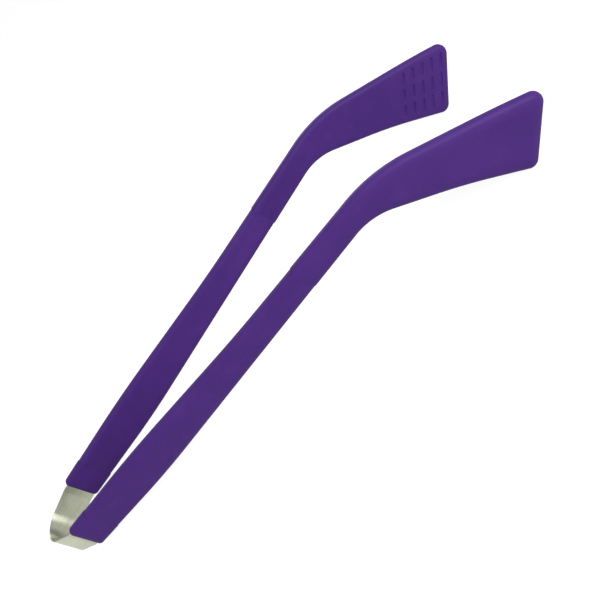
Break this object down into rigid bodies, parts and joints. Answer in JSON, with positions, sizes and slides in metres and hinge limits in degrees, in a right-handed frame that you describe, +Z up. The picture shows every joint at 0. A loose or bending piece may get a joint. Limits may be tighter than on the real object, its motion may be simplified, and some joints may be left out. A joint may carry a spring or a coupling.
{
  "type": "spring loaded kitchen tongs",
  "caption": "Tweezer-style kitchen tongs: flat dog-leg arms clad in silicone, joined by a U-bent spring steel strip.",
  "frame": {"origin": "on the surface that the tongs stand on, under the middle of their bounding box", "axes": "+X from the spring to the jaws, +Y towards the left arm, +Z up; the tongs stand on the lower edge of the spring bow and on the lower corners of the two jaws"},
  "size_m": [0.3018, 0.0902, 0.049],
  "materials": {
    "purple_silicone": "satin moulded silicone rubber",
    "black_nylon": "matt moulded glass-filled nylon",
    "spring_steel": "satin rolled stainless spring strip"
  },
  "bodies": {
    "spring": {"spring_strip": "spring_steel"},
    "right_arm": {"right_arm_core": "black_nylon", "right_end_collar": "purple_silicone", "right_grip_sleeve": "purple_silicone", "right_jaw_sleeve": "purple_silicone", "right_leg_rivet_1": "spring_steel", "right_leg_rivet_2": "spring_steel"},
    "left_arm": {"left_arm_core": "black_nylon", "left_end_collar": "purple_silicone", "left_grip_sleeve": "purple_silicone", "left_jaw_sleeve": "purple_silicone", "left_leg_rivet_1": "spring_steel", "left_leg_rivet_2": "spring_steel"}
  },
  "joints": [
    {"name": "right_arm_hinge", "type": "hinge", "parent": "spring", "child": "right_arm", "pos_m": [-0.14177, -0.00999, 0.00844], "axis": [-0.1539, 0, 0.9881], "range_deg": [-3, 7.65], "stiffness_Nm_per_rad": 4.8, "deforming": ["spring_strip"]},
    {"name": "left_arm_hinge", "type": "hinge", "parent": "spring", "child": "left_arm", "pos_m": [-0.14177, 0.00999, 0.00844], "axis": [-0.1539, 0, 0.9881], "range_deg": [-7.65, 3], "stiffness_Nm_per_rad": 4.8, "deforming": ["spring_strip"]}
  ],
  "couplings": [
    {"joint": "left_arm_hinge", "follows": "right_arm_hinge", "ratio": -1}
  ]
}
